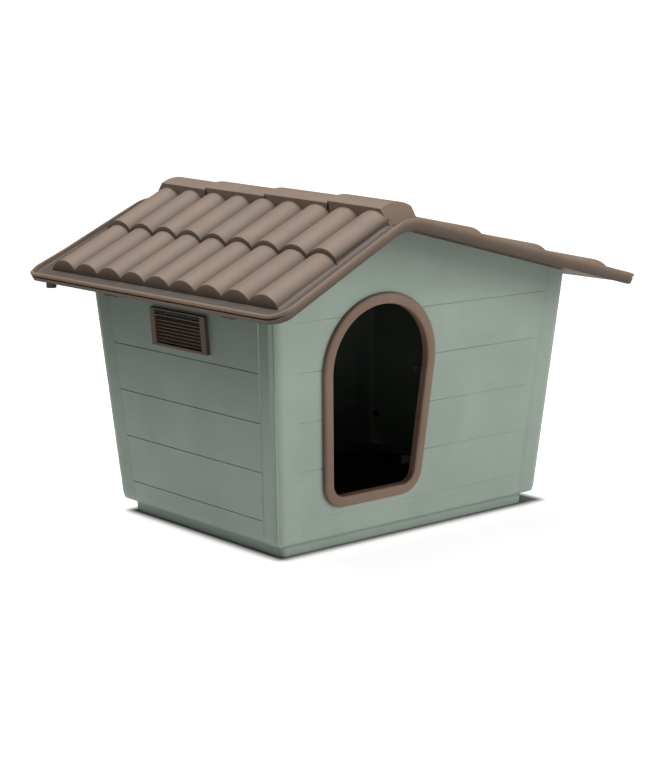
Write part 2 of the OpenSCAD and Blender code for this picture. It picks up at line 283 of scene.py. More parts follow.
# Injection-moulded polypropylene: soft sheen, faint spark-eroded grain, slow flow shading from the gate
def mouldedPolypropylene(name, colour, flowColour, roughness, grain):
    material = bpy.data.materials.new(name)
    material.use_nodes = True
    tree = material.node_tree
    tree.nodes.clear()
    place = addNode(tree, "ShaderNodeTexCoord")
    flow = addNode(
        tree, "ShaderNodeTexNoise",
        {"Scale": patternScale(moulding["flow"]), "Detail": 3.0, "Roughness": 0.55,
         "Distortion": 0.6},
        {"Vector": place.outputs["Object"]},
    )
    speck = addNode(
        tree, "ShaderNodeTexNoise",
        {"Scale": patternScale(moulding["speck"]), "Detail": 2.0, "Roughness": 0.6},
        {"Vector": place.outputs["Object"]},
    )
    share = addNode(
        tree, "ShaderNodeMapRange", {"From Min": 0.35, "From Max": 0.65, "To Min": 0.0, "To Max": 1.0},
        {"Value": flow.outputs["Fac"]},
    )
    body = addNode(
        tree, "ShaderNodeMix", {"data_type": "RGBA"}, {"Factor": share.outputs["Result"]},
    )
    body.inputs[6].default_value = toLinear(colour)
    body.inputs[7].default_value = toLinear(flowColour)
    pale = addNode(
        tree, "ShaderNodeMapRange", {"From Min": 0.3, "From Max": 0.7, "To Min": 0.965, "To Max": 1.035},
        {"Value": speck.outputs["Fac"]},
    )
    tone = addNode(
        tree, "ShaderNodeHueSaturation", {}, {"Color": body.outputs[2], "Value": pale.outputs["Result"]},
    )
    # a piece can carry a shade attribute, which paints shade where little light reaches: in the roof's
    # channel and underside, in the tiles' valleys and risers, and on the walls' tops under the roof
    paintedShadeAmount = addNode(tree, "ShaderNodeAttribute", {"attribute_name": "shade"})
    dim = addNode(
        tree, "ShaderNodeMapRange",
        {"From Min": 0.0, "From Max": 1.0, "To Min": 1.0, "To Max": moulding["paintedShadeTone"]},
        {"Value": paintedShadeAmount.outputs["Fac"]},
    )
    shaded = addNode(
        tree, "ShaderNodeVectorMath", {"operation": "SCALE"},
        {0: tone.outputs["Color"], "Scale": dim.outputs["Result"]},
    )
    drawnGrain = moulding["grain"] * moulding["grainCoarser"]
    pits = addNode(
        tree, "ShaderNodeTexNoise", {"Scale": patternScale(drawnGrain), "Detail": 3.0, "Roughness": 0.65},
        {"Vector": place.outputs["Object"]},
    )
    waves = addNode(
        tree, "ShaderNodeTexNoise", {"Scale": patternScale(moulding["sink"]), "Detail": 1.0},
        {"Vector": place.outputs["Object"]},
    )
    warp = addNode(
        tree, "ShaderNodeBump", {"Strength": 0.12, "Distance": moulding["sinkDepth"] * millimetre},
        {"Height": waves.outputs["Fac"]},
    )
    bump = addNode(
        tree, "ShaderNodeBump", {"Strength": grain, "Distance": moulding["grainDepth"] * millimetre},
        {"Height": pits.outputs["Fac"], "Normal": warp.outputs["Normal"]},
    )
    gloss = addNode(
        tree, "ShaderNodeMapRange",
        {"From Min": 0.3, "From Max": 0.7, "To Min": roughness - 0.05, "To Max": roughness + 0.05},
        {"Value": speck.outputs["Fac"]},
    )
    surface = addNode(
        tree, "ShaderNodeBsdfPrincipled", {"IOR": 1.49, "Metallic": 0.0, "Specular IOR Level": 0.3},
        {
            "Base Color": shaded.outputs["Vector"],
            "Roughness": gloss.outputs["Result"],
            "Normal": bump.outputs["Normal"],
        },
    )
    addNode(tree, "ShaderNodeOutputMaterial", {}, {"Surface": surface.outputs["BSDF"]})
    return material


sageWall = mouldedPolypropylene("sageWall", "#7F8B81", "#79857B", 0.5, 0.25)
clayRoof = mouldedPolypropylene("clayRoof", "#715E4E", "#6A584A", 0.6, 0.35)
clayTrim = mouldedPolypropylene("clayTrim", "#695547", "#634F42", 0.55, 0.3)
umberVent = mouldedPolypropylene("umberVent", "#4A3A30", "#43342B", 0.55, 0.3)
umberFloor = mouldedPolypropylene("umberFloor", "#4C3E36", "#443730", 0.6, 0.4)
umberRing = mouldedPolypropylene("umberRing", "#2C231D", "#281F1A", 0.6, 0.3)
umberFixing = mouldedPolypropylene("umberFixing", "#45382F", "#3E322A", 0.5, 0.3)
print("materials made")


panel = {
    "pillarWidth": 30,
    "pillarProud": 2,
    "gableProud": 1.2,     # how far the pillars stand out from the gable walls' planks
    "pillarRamp": 3,       # width of the slope from a front pillar down to the planks
    "rearRamp": 12,        # the same on the rear pillars, which blend in softly
    "cornerRadius": 12,
    "flangeGap": 0.2,      # between a pillar's end flange and the side wall
    "bottomCurve": 12,     # height over which a wall's foot curves in
    "bottomTurn": 0.9,     # how much of a quarter turn the curve makes
    "bottomInset": 4.5,
    "pillarEndRadius": 11,
    "pillarEndZ": 17.5,
    "footRound": 0.95,     # how steeply a pillar's foot sinks back, up to 1
    "grooveFirst": 43.5,
    "groovePitch": 59,
    "grooveDepth": 0.9,
    # level cuts that make a groove: height from the joint, and whether the wall is pushed in there
    "grooveRows": ((0.7, 0), (0.15, 1), (-0.15, 1), (-0.9, 0)),
    "gableGrooveTop": 290,
    "grooveEnd": 4,        # plain stretch between a groove's end and a pillar
    "bead": 1.4,           # radius of the bead along the end of a front pillar
    "beadSunk": 0.4,       # share of its radius that lies in the pillar
    "beadLean": 30,        # how far out the bead's top lies, where it meets the roof
    "edge": 0.5,
    "sheetHeight": 420,    # height that a gable wall is drawn to before the roof line cuts it
    "roofGap": 12,
    "eaveShade": 0.8,      # painted shade on a side wall's top under the eaves, which fades out between these heights
    "eaveFrom": 140,
    "eaveTo": 290,
    "gableShade": 0.0019,  # how much painted shade a gable wall gets with each millimetre over gableFrom, under the roof
    "gableFrom": 200,
}


def grooveHeights(top):
    z = panel["grooveFirst"]
    while z < top:
        yield z
        z += panel["groovePitch"]


# how far a wall's foot curves in at a height
def footCurve(z):
    below = max(0, (house["footZ"] + panel["bottomCurve"] - z) / panel["bottomCurve"])
    return panel["bottomInset"] * (1 - math.cos(math.asin(min(1, below) * panel["bottomTurn"])))


def footRows():
    steps = 6
    for i in range(1, steps + 1):
        yield house["footZ"] + panel["bottomCurve"] * (1 - math.cos(math.pi / 2 * i / steps))


# how much shade is painted on a side wall at a height under the eaves
def eaveShade(z):
    height = (z - panel["eaveFrom"]) / (panel["eaveTo"] - panel["eaveFrom"])
    return panel["eaveShade"] * min(1, max(0, height))


# level cuts through a wall for the grooves between its planks
def cutGrooves(bm, top):
    for z in grooveHeights(top):
        for row in panel["grooveRows"]:
            cut(bm, (0, 0, z + row[0]), (0, 0, 1))


# pushes in the cuts' points that the test finds on a plank's face
def sinkGrooves(bm, top, onPlank, inwards):
    deep = [z + offset for z in grooveHeights(top) for offset, pushed in panel["grooveRows"] if pushed]
    for v in bm.verts:
        if onPlank(v.co) and min(abs(v.co.z - z) for z in deep) < 0.02:
            v.co += inwards * panel["grooveDepth"]


# side is -1 for the front wall and 1 for the rear one
def gablePanel(name, side, doorway=None):
    grooveTop = panel["gableGrooveTop"]
    width = groundWidth
    depth = groundDepth
    proud = panel["pillarProud"]
    ramp = panel["pillarRamp"] if side < 0 else panel["rearRamp"]
    gableProud = panel["gableProud"]
    pillar = panel["pillarWidth"]
    bm = bmesh.new()
    half = [
        (width + panel["flangeGap"], -depth + pillar),
        (width + proud, -depth + pillar - ramp),
        (width + proud, -depth - gableProud),
        (width - pillar + ramp, -depth - gableProud),
        (width - pillar, -depth),
    ]
    plan = [(-x, y) for x, y in half] + half[::-1]
    line = [bm.verts.new((x, y, house["footZ"])) for x, y in plan]
    edges = [bm.edges.new(pair) for pair in zip(line, line[1:])]
    made = bmesh.ops.extrude_edge_only(bm, edges=edges)["geom"]
    bmesh.ops.translate(bm, verts=vertsIn(made), vec=(0, 0, panel["sheetHeight"]))
    corner = Vector((width + proud, depth + gableProud))
    corners = [
        e for e in bm.edges
        if all((Vector((abs(v.co.x), -v.co.y)) - corner).length < 0.01 for v in e.verts)
    ]
    roundEdges(bm, corners, panel["cornerRadius"], 10)
    for z in footRows():
        cut(bm, (0, 0, z), (0, 0, 1))
    plank = width - pillar - panel["grooveEnd"]
    for sign in (-1, 1):
        cut(bm, (sign * plank, 0, 0), (1, 0, 0))
    cutGrooves(bm, grooveTop)
    # paints shade on the pillars' sides under the eaves and on the gable under the roof
    shade = bm.verts.layers.float.new("shade")
    cornerEnd = panel["cornerRadius"] - depth - gableProud
    for v in bm.verts:
        onSide = abs(v.co.x) > width - 0.5 and v.co.y > cornerEnd - 0.1
        gableShade = panel["gableShade"] * max(0, v.co.z - panel["gableFrom"])
        v[shade] = eaveShade(v.co.z) if onSide else gableShade
        warpPillar(v, width, depth, ramp)
    if side > 0:
        bmesh.ops.scale(bm, verts=bm.verts, vec=(1, -1, 1))
        bmesh.ops.reverse_faces(bm, faces=bm.faces)
    bmesh.ops.translate(bm, verts=bm.verts, vec=(house["centreX"], 0, 0))
    trimToRoof(bm, panel["roofGap"])
    bmesh.ops.recalc_face_normals(bm, faces=bm.faces)
    turnOutwards(bm, Vector((house["centreX"], 0, house["middleZ"])))
    bmesh.ops.solidify(bm, geom=bm.faces, thickness=house["wall"])
    bmesh.ops.recalc_face_normals(bm, faces=bm.faces)
    upright = [e for e in sharpEdges(bm) if abs(e.verts[0].co.z - e.verts[1].co.z) > 0.3 * e.calc_length()]
    roundEdges(bm, upright, panel["edge"])
    sinkGrooves(
        bm, grooveTop,
        lambda place: abs(place.x - house["centreX"]) < plank + house["sideLean"] * place.z + 0.1
        and abs(place.y - side * (depth + house["gableLean"] * place.z)) < 0.05,
        Vector((0, -side, 0)),
    )
    piece = newObject(bm, name)
    if doorway:
        carve(piece, [doorway])
        addBeads(piece)
    return piece


# light beads that run up the ends of the front pillars, where the side walls slide in
def addBeads(piece):
    out = groundWidth + panel["pillarProud"] - panel["bead"] * panel["beadSunk"]
    back = groundDepth - panel["pillarWidth"] + panel["pillarRamp"]
    low = panel["pillarEndZ"] + panel["pillarEndRadius"]
    bm = bmesh.new()
    bm.from_mesh(piece.data)
    for sign in (-1, 1):
        top = rim(house["centreX"] + sign * (out + panel["beadLean"])) - panel["roofGap"]
        foot = Vector((house["centreX"] + sign * out, -back, 0))
        slope = Vector((sign * house["sideLean"], -house["gableLean"], 1))
        ends = [(foot + slope * z) * millimetre for z in (low, top)]
        rod(bm, ends[0], ends[1], panel["bead"] * millimetre)
    bm.to_mesh(piece.data)
    bm.free()


# a closed round bar between two points
def rod(bm, start, end, radius, segments=10):
    along = end - start
    made = bmesh.ops.create_cone(
        bm, cap_ends=True, segments=segments, radius1=radius, radius2=radius, depth=along.length
    )["verts"]
    turn = along.to_track_quat("Z", "Y").to_matrix().to_4x4()
    bmesh.ops.transform(bm, verts=made, matrix=Matrix.Translation((start + end) / 2) @ turn)


# leans a point of the straight panel outwards, and shapes the wall's foot and the pillar's end
def warpPillar(v, width, depth, ramp):
    sign = 1 if v.co.x > 0 else -1
    z = v.co.z
    inset = footCurve(z)
    endTop = panel["pillarEndZ"] + panel["pillarEndRadius"]
    below = min(1, max(0, (endTop - z) / panel["pillarEndRadius"]))
    room = panel["pillarWidth"] - ramp - panel["cornerRadius"] - 1
    drawn = min(room, panel["pillarEndRadius"]) * (1 - math.sqrt(1 - below * below))
    x = abs(v.co.x)
    y = v.co.y
    proud = panel["pillarProud"]
    corner = panel["cornerRadius"]
    intoX = (x - width - proud + corner) / corner if y < corner - depth - panel["gableProud"] else 1
    intoY = (corner - depth - panel["gableProud"] - y) / corner if x > width + proud - corner else 1
    onPillar = 1 if x > width + 0.5 or y < -depth - 0.5 else 0
    if -0.5 < x - width + panel["pillarWidth"] < ramp + 0.5:
        x += drawn
    if -0.5 < panel["pillarWidth"] - depth - y < ramp + 0.5:
        y -= drawn
    lowered = min(1, max(0, (endTop - z) / (endTop - house["footZ"])))
    sunk = 1 - math.sqrt(1 - panel["footRound"] * lowered * lowered)
    x -= min(1, max(0, intoX)) * (inset + sunk * proud * onPillar)
    y += min(1, max(0, intoY)) * (inset + sunk * panel["gableProud"] * onPillar)
    v.co.x = sign * (x + house["sideLean"] * z)
    v.co.y = y - house["gableLean"] * z


# cuts away what stands above the roof line lowered by gap
def trimToRoof(bm, gap):
    for fall, run in ((roofLine["leftFall"], -1), (roofLine["rightFall"], 1)):
        point = (roofLine["ridgeX"], 0, roofLine["ridgeZ"] - gap)
        cut(bm, point, (run * fall, 0, 1), clear=True)
    cut(bm, (0, 0, rim(roofLine["ridgeX"]) - gap), (0, 0, 1), clear=True)


# an open sheet's faces look away from a point inside it
def turnOutwards(bm, inside):
    bm.normal_update()
    looking = sum(f.normal.dot(f.calc_center_median() - inside) * f.calc_area() for f in bm.faces)
    if looking < 0:
        bmesh.ops.reverse_faces(bm, faces=bm.faces)


vent = {
    "width": 109,
    "height": 46,
    "z": 253,
    "proud": 5,
    "stile": 9.5,
    "rail": 3.5,
    "topRail": 1.6,
    "slot": 5.5,           # open slot under the top rail
    "sill": 1.5,           # lip between the slot and the louvres
    "louvres": 8,
    "louvreDepth": 6,
    "louvreThickness": 1.5,
    "louvreOut": 0.6,      # how far the louvres' middle lies outside the wall
    "tilt": 40,
    "sillBack": 0.5,
    "spigotGap": 0.3,      # round the part that goes through the wall
    "spigotDepth": 10,
    "spigotLap": 0.2,      # how far it reaches into the frame
    "spigotLow": 8,        # how much lower than the frame it is
    "edge": 0.35,
}


def block(bm, size, centre, turn=0):
    made = bmesh.ops.create_cube(bm, size=1)["verts"]
    bmesh.ops.scale(bm, verts=made, vec=size)
    if turn:
        bmesh.ops.rotate(bm, verts=made, cent=(0, 0, 0), matrix=Matrix.Rotation(math.radians(turn), 3, "X"))
    bmesh.ops.translate(bm, verts=made, vec=centre)
    return made


def ventCutter(turn):
    bm = bmesh.new()
    block(bm, (vent["width"] - 2 * vent["rail"], vent["height"] - vent["rail"], cutterDepth), (0, 0, 0))
    bmesh.ops.translate(bm, verts=bm.verts, vec=(0, upWall(vent["z"], house["sideLean"]), 0))
    bmesh.ops.transform(bm, verts=bm.verts, matrix=sideMatrix(turn))
    return newObject(bm, "ventCutter")


def sidePanel(name, turn, top, node):
    run = 1 if turn > 0 else -1
    width = groundWidth
    depth = groundDepth - house["wall"]
    bm = bmesh.new()
    line = [bm.verts.new((width, y, house["footZ"])) for y in (-depth, depth)]
    made = bmesh.ops.extrude_edge_only(bm, edges=[bm.edges.new(line)])["geom"]
    upper = vertsIn(made)
    bmesh.ops.translate(bm, verts=upper, vec=(0, 0, top - house["footZ"]))
    for z in footRows():
        cut(bm, (0, 0, z), (0, 0, 1))
    cutGrooves(bm, vent["z"])
    for v in bm.verts:
        z = v.co.z
        v.co.x += house["sideLean"] * z - footCurve(z)
        v.co.y += (1 if v.co.y > 0 else -1) * house["gableLean"] * z
    bmesh.ops.scale(bm, verts=bm.verts, vec=(run, 1, 1))
    bmesh.ops.translate(bm, verts=bm.verts, vec=(house["centreX"], 0, 0))
    bmesh.ops.recalc_face_normals(bm, faces=bm.faces)
    turnOutwards(bm, Vector((house["centreX"], 0, house["middleZ"])))
    bmesh.ops.solidify(bm, geom=bm.faces, thickness=house["wall"])
    bmesh.ops.recalc_face_normals(bm, faces=bm.faces)
    sinkGrooves(
        bm, vent["z"],
        lambda place: abs(place.x - house["centreX"] - run * (width + house["sideLean"] * place.z)) < 0.05,
        Vector((-run, 0, 0)),
    )
    piece = newObject(bm, name)
    slots = keeperCutters(run)
    carve(piece, [ventCutter(turn)] + slots)
    # paints the shade under the eaves onto the carved wall
    shade = piece.data.attributes.new("shade", "FLOAT", "POINT")
    for v in piece.data.vertices:
        shade.data[v.index].value = eaveShade(v.co.z / millimetre)
    finishPiece(piece, "house", sageWall, [node])


# slots near the top of a side wall that the turn locks reach into
keeper = {"gap": 2, "armThickness": 5}


def keeperCutters(run):
    cutters = []
    for node in ("roof_lock_front_", "roof_lock_rear_"):
        low, high = boxInMillimetres(node + ("right" if run > 0 else "left"))
        reach = high.y - low.y
        size = (reach + keeper["gap"], reach, keeper["armThickness"] + 2 * keeper["gap"])
        inner = (low.x + high.x) / 2 - run * size[0] / 2
        middle = low.z + keeper["armThickness"] / 2
        bm = bmesh.new()
        block(bm, size, (inner, (low.y + high.y) / 2, middle))
        cutters.append(newObject(bm, "keeperCutter"))
    return cutters


door = {
    "centreX": -73.5,       # from the house centre
    "springZ": 217,
    "half": 87.5,
    "taper": 0.076,
    "footZ": 51.5,
    "cornerRadius": 26,
    "cover": 10.5,          # how far the frame covers the wall
    # section through the frame: distance in from its outline, height over the wall
    "front": (
        (0, -0.2), (0.05, 2.6), (0.35, 3.8), (1.1, 4.8), (2.3, 5.5), (4.2, 5.9), (7.2, 6.0),
        (10.6, 5.8), (12.2, 5.3), (13.1, 4.5), (13.45, 3.4), (13.5, -4),
    ),
    "back": ((0, -0.2), (10.6, -0.21), (10.65, -4.01), (13.5, -4)),
}


# the doorway's outline as one face in the wall's own plane
def doorFace(bm, inset=0):
    tilt = math.atan(door["taper"])
    radius = door["half"] * math.cos(tilt)
    top = door["springZ"] + radius
    topHalf = door["half"] + door["taper"] * radius
    footHalf = door["half"] - door["taper"] * (door["springZ"] - door["footZ"])
    points = [(-footHalf, door["footZ"]), (footHalf, door["footZ"]), (topHalf, top), (-topHalf, top)]
    verts = [bm.verts.new((x, z - house["footZ"], 0)) for x, z in points]
    face = bm.faces.new(verts)
    roundCorners(bm, face, verts[2:], topHalf - 0.01, 24)
    bmesh.ops.remove_doubles(bm, verts=bm.verts, dist=0.1)
    face = bm.faces[:][0]
    low = [v for v in face.verts if v.co.y < door["footZ"] - house["footZ"] + 0.01]
    length = door["cornerRadius"] * math.tan(math.pi / 4 + tilt / 2)
    face = roundCorners(bm, face, low, length, 8)
    bmesh.ops.translate(bm, verts=bm.verts, vec=(door["centreX"], 0, 0))
    if inset:
        ring = bmesh.ops.inset_region(
            bm, faces=[face], thickness=inset, depth=0, use_boundary=True, use_even_offset=True
        )["faces"]
        bmesh.ops.delete(bm, geom=ring, context="FACES")
    return face


def doorCutter():
    bm = bmesh.new()
    face = doorFace(bm, door["cover"])
    made = bmesh.ops.extrude_face_region(bm, geom=[face])["geom"]
    bmesh.ops.translate(bm, verts=vertsIn(made), vec=(0, 0, cutterDepth))
    bmesh.ops.translate(bm, verts=bm.verts, vec=(0, 0, -cutterDepth / 2))
    bmesh.ops.recalc_face_normals(bm, faces=bm.faces)
    bmesh.ops.transform(bm, verts=bm.verts, matrix=gableMatrix(0))
    return newObject(bm, "doorCutter")


def doorFrame():
    bm = bmesh.new()
    for section in (door["front"], door["back"]):
        one = bmesh.new()
        face = doorFace(one)
        bmesh.ops.translate(one, verts=one.verts, vec=(0, 0, section[0][1]))
        face = stack(one, face, stepsOf(section))
        bmesh.ops.delete(one, geom=[face], context="FACES_ONLY")
        addPart(bm, one)
    bmesh.ops.remove_doubles(bm, verts=bm.verts, dist=0.08)
    bmesh.ops.recalc_face_normals(bm, faces=bm.faces)
    bmesh.ops.transform(bm, verts=bm.verts, matrix=gableMatrix(0))
    piece = newObject(bm, "doorFrame")
    finishPiece(piece, "house", clayTrim, ["door_frame"], sharp=50)


def ventGrille(name, turn, node):
    bm = bmesh.new()
    inner = vent["width"] - 2 * vent["stile"]
    top = vent["height"] / 2
    for side in (-1, 1):
        block(bm, (vent["stile"], vent["height"], vent["proud"]),
              (side * (vent["width"] - vent["stile"]) / 2, 0, vent["proud"] / 2))
    block(bm, (inner, vent["rail"], vent["proud"]), (0, vent["rail"] / 2 - top, vent["proud"] / 2))
    block(bm, (inner, vent["topRail"], vent["proud"]), (0, top - vent["topRail"] / 2, vent["proud"] / 2))
    sillTop = top - vent["topRail"] - vent["slot"]
    block(bm, (inner, vent["sill"], vent["proud"] - vent["sillBack"]),
          (0, sillTop - vent["sill"] / 2, vent["proud"] / 2))
    low = vent["rail"] - top
    pitch = (sillTop - vent["sill"] - low) / vent["louvres"]
    for row in range(vent["louvres"] - 1):
        block(bm, (inner, vent["louvreThickness"], vent["louvreDepth"]),
              (0, low + (row + 1) * pitch, vent["louvreOut"]), vent["tilt"])
    spigot = vent["width"] - 2 * vent["rail"] - 2 * vent["spigotGap"]
    for side in (-1, 1):
        block(bm, (vent["stile"] - vent["rail"] - vent["spigotGap"], vent["height"] - vent["spigotLow"],
                   vent["spigotDepth"]),
              (side * (spigot + inner) / 4, 0, vent["spigotLap"] - vent["spigotDepth"] / 2))
    roundEdges(bm, sharpEdges(bm), vent["edge"], 2)
    bmesh.ops.translate(bm, verts=bm.verts, vec=(0, upWall(vent["z"], house["sideLean"]), 0))
    bmesh.ops.transform(bm, verts=bm.verts, matrix=sideMatrix(turn))
    piece = newObject(bm, name)
    finishPiece(piece, "house", umberVent, [node])


base = {
    "outer": ((4.9, 16), (5.8, 15.5), (7.6, 14.3), (9.2, 12.8), (10.1, 11.2), (10.5, 9.5), (10.6, 1.4),
              (11.0, 0.4), (11.8, 0), (12.8, 0), (13.0, 0.6), (13.1, 11.4), (13.8, 11.99)),
    "top": ((4.9, 16), (6.4, 16.01), (6.6, 29.0), (7.2, 29.8), (8.4, 29.9), (8.9, 29.2), (9.1, 16.0)),
    "radius": 15,
}


def baseTray():
    bm = bmesh.new()
    for section in (base["outer"], base["top"]):
        length = 2 * (house["sideReach"] - section[0][0])
        depth = 2 * (house["gableReach"] - section[0][0])
        face = roundedPlate(bm, length, depth, base["radius"], section[0][1])
        stack(bm, face, stepsOf(section))
    bmesh.ops.remove_doubles(bm, verts=bm.verts, dist=0.02)
    bmesh.ops.recalc_face_normals(bm, faces=bm.faces)
    bmesh.ops.translate(bm, verts=bm.verts, vec=(house["centreX"], 0, 0))
    piece = newObject(bm, "baseTray")
    finishPiece(piece, "house", sageWall, ["base_tray"], sharp=50)


lockNodes = ("roof_lock_front_left", "roof_lock_front_right", "roof_lock_rear_left", "roof_lock_rear_right")

pan = {
    "radius": 25,
    "floorDrop": 9,
    # sections through the rim: distance in from the roof's outline, height from the rim line
    "over": ((0, -2.2), (0.4, -1.0), (1.2, -0.25), (2.3, 0), (3.4, -0.5), (4.4, -1.9), (5.4, -4.0),
             (6.8, -6.1), (9.0, -7.7), (12.2, -8.7), (16.5, -9)),
    "under": ((0, -2.2), (0.3, -3.0), (0.8, -3.4), (1.0, -3.6), (1.2, -5.4), (1.6, -5.8), (4.2, -13.2),
              (4.8, -14.4), (5.8, -15), (7.0, -15), (7.7, -14.4), (8.2, -13), (9.4, -11.8), (11.4, -11.5)),
    "wallTopZ": 320,         # height at which the opening in the floor is fitted to the walls
    "eaveBand": 11.5,        # height of the rim along the eaves
    "eaveGroove": 3.2,       # depth of the groove under the lip along the eaves
    "bearing": 10,           # how far the floor reaches inside the wall tops
    "rearDip": 11,           # how much lower the rear rim runs at the ridge than the front one
    "dipReach": 200,         # how far from the ridge the lowering starts
    "dipSlope": 10,          # width over which the channel falls to the lowered rim
    "ridgeCuts": 8,
    "shadeFrom": -2,         # the channel and the underside get painted shade from this height down, over shadeReach
    "shadeReach": 6,
}

tiles = {
    "columns": 9,
    "pitch": 49.4,
    "rise": 10,
    "arcSteps": 12,
    "leftEnds": (-106, -187, -270),
    "rightEnds": (-66, 44, 155, 266),
    # heights of each row's valleys at its upper and lower end, from the rim line
    "leftHeights": ((-5, -3), (-8.5, -5)),
    "rightHeights": ((-5, 0.5), (-5, 0.5), (-5, 0.5)),
    "lap": 6,
    "topLap": -1.5,
    "riser": 7,
    "valleyShade": 0.7,
    "thickness": 2.2,
    # a row's outer edge: distance out, share of the fall into the channel
    "flank": ((0.5, 0.35), (1.2, 0.62), (2.4, 0.83), (4.2, 0.95), (6.8, 1.0)),
    "footSlope": 0.8,      # how far the lowest risers lean out
    "riserSlope": 0.3,
    "footSunk": 0.3,       # how far they reach into the roof's floor
    "edge": 0.7,
}

ridge = {
    "x": -86,
    "half": 24.2,
    "sideZ": 403.7,
    "rise": 2.6,
    "crown": 6.6,
    "joints": (-210, -117.6, 0, 117.6, 210),
    "lap": 4,
    "draft": 17,           # how far the end caps' feet run out
    "insideZ": 380,        # height of a point inside the caps
    "steps": 14,
    "edge": 1.3,
}


# distance in from the roof's outline, and the way out of it
def roofOutline(x, y):
    beyondX = abs(x) - roofHigh.x + pan["radius"]
    beyondY = abs(y) - roofHigh.y + pan["radius"]
    inner = Vector((max(beyondX, 0), max(beyondY, 0)))
    out = inner.normalized() if inner.length > 0 else Vector((0, 0))
    return pan["radius"] - inner.length, Vector((math.copysign(out.x, x), math.copysign(out.y, y), 0))


# how much the rear rim is lowered at a point: most at the ridge, nothing in the channel or at the eaves
def rearDip(place):
    toRidge = max(0, 1 - abs(place.x - roofLine["ridgeX"]) / pan["dipReach"])
    toEdge = min(1, max(0, (place.y - roofHigh.y + pan["over"][-1][0]) / pan["dipSlope"]))
    return pan["rearDip"] * toRidge * (2 - toRidge) * toEdge


def roofPan():
    bm = bmesh.new()
    length = roofHigh.x - roofLow.x
    depth = roofHigh.y - roofLow.y
    for section in (pan["over"], pan["under"]):
        face = roundedPlate(bm, length, depth, pan["radius"], section[0][1], 12)
        stack(bm, face, stepsOf(section))
    # paints shade into the channel and onto the underside
    shade = bm.verts.layers.float.new("shade")
    for v in bm.verts:
        v[shade] = min(1, max(0, (pan["shadeFrom"] - v.co.z) / pan["shadeReach"]))
        inside, out = roofOutline(v.co.x, v.co.y)
        v.co.z += out.x ** 2 * (max(v.co.z, -pan["eaveBand"]) - v.co.z)
        inGroove = 0.9 < inside < 1.3 and -5.5 < v.co.z < -3.5
        if inGroove:
            v.co -= out * pan["eaveGroove"] * out.x ** 2
    bmesh.ops.remove_doubles(bm, verts=bm.verts, dist=0.02)
    half = roofLine["ridgeRound"]
    for i in range(pan["ridgeCuts"] + 1):
        cut(bm, (roofLine["ridgeX"] + half * (2 * i / pan["ridgeCuts"] - 1), 0, 0), (1, 0, 0))
    wallTop = pan["wallTopZ"] - house["footZ"]
    holeX = house["sideReach"] + house["sideLean"] * wallTop - pan["bearing"]
    holeY = house["gableReach"] + house["gableLean"] * wallTop - pan["bearing"]
    for sign in (-1, 1):
        cut(bm, (house["centreX"] + sign * holeX, 0, 0), (1, 0, 0))
        cut(bm, (0, sign * holeY, 0), (0, 1, 0))
    middle = []
    for f in bm.faces:
        centre = f.calc_center_median()
        if abs(centre.x - house["centreX"]) < holeX and abs(centre.y) < holeY:
            middle.append(f)
    bmesh.ops.delete(bm, geom=middle, context="FACES")
    bmesh.ops.bridge_loops(bm, edges=[e for e in bm.edges if e.is_boundary])
    for v in bm.verts:
        v.co.z += rim(v.co.x) - rearDip(v.co)
    bmesh.ops.recalc_face_normals(bm, faces=bm.faces)
    addBosses(bm)
    piece = newObject(bm, "roofPan")
    finishPiece(piece, "roof", clayRoof, ["roof_shell"], sharp=60)


# sleeves under the roof that the turn locks turn in
boss = {
    "radius": 7.5,
    "bore": 4.6,
    "bottom": 292,
    "deep": 6,             # depth of the bore that is drawn
    "pinFromEnd": 7,       # from the outer end of a lock's arm to its pin
    "sunk": 1.2,           # how far a sleeve starts under the roof's floor
    "edge": 0.5,
    "draft": 0.05,
}


def addBosses(bm):
    for node in lockNodes:
        low, high = boxInMillimetres(node)
        x = (low.x + high.x) / 2
        y = high.y - boss["pinFromEnd"] if high.y > 0 else low.y + boss["pinFromEnd"]
        top = rim(x) - pan["floorDrop"] - boss["sunk"]
        ring = bmesh.ops.create_circle(bm, cap_ends=True, radius=boss["radius"], segments=32)["verts"]
        bmesh.ops.translate(bm, verts=ring, vec=(x, y, top))
        face = ring[0].link_faces[0]
        edge = boss["edge"]
        steps = (
            (boss["draft"], boss["bottom"] + edge - top), (edge, -edge),
            (boss["radius"] - boss["bore"] - 2 * edge, 0), (edge, edge), (boss["draft"], boss["deep"]),
        )
        stack(bm, face, steps)
    bmesh.ops.contextual_create(bm, geom=[e for e in bm.edges if e.is_boundary])


